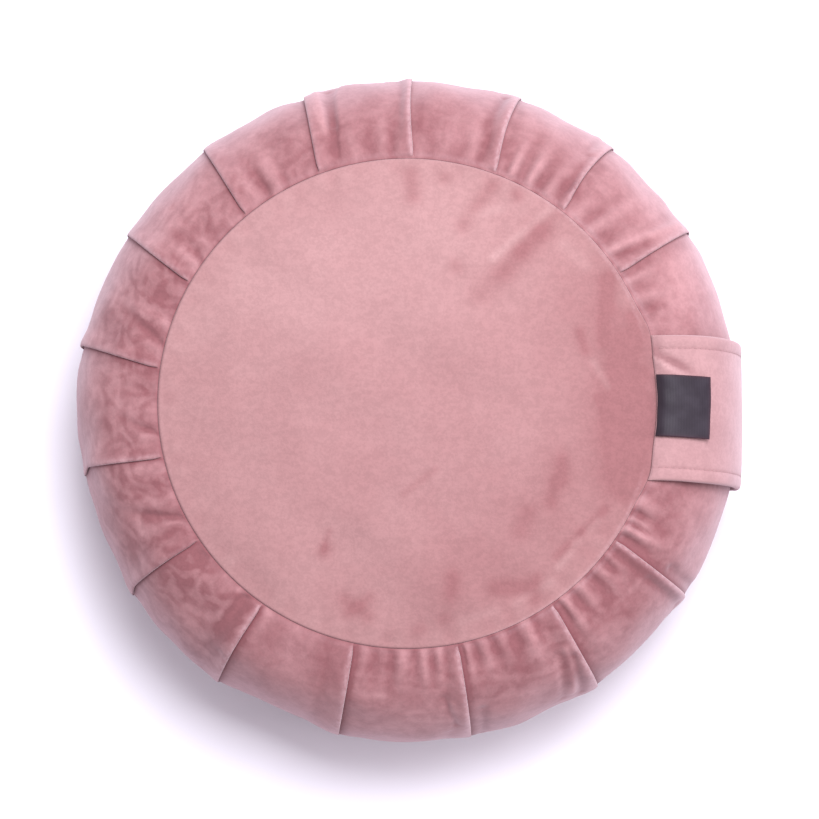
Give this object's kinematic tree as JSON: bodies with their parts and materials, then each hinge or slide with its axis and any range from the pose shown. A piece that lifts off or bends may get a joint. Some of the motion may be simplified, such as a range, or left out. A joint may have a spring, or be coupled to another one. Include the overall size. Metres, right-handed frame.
{
  "type": "zafu meditation cushion",
  "caption": "Round floor cushion for sitting meditation: a filled body with a pleated side, crowned top panel, flat base and a wide carrying strap.",
  "frame": {"origin": "centre of the bottom panel's flat face, on the surface that the cushion rests on", "axes": "+Z up, square to the flat base; +X from the middle towards the handle; +Y is up in the picture"},
  "size_m": [0.3818, 0.3799, 0.1344],
  "materials": {
    "plush": "short-pile plush, dusty rose",
    "label": "woven satin ribbon, charcoal, bare"
  },
  "bodies": {
    "root": {"pleated_side": "plush", "top_panel": "plush", "bottom_panel": "plush", "handle": "plush", "label": "label"}
  },
  "joints": []
}
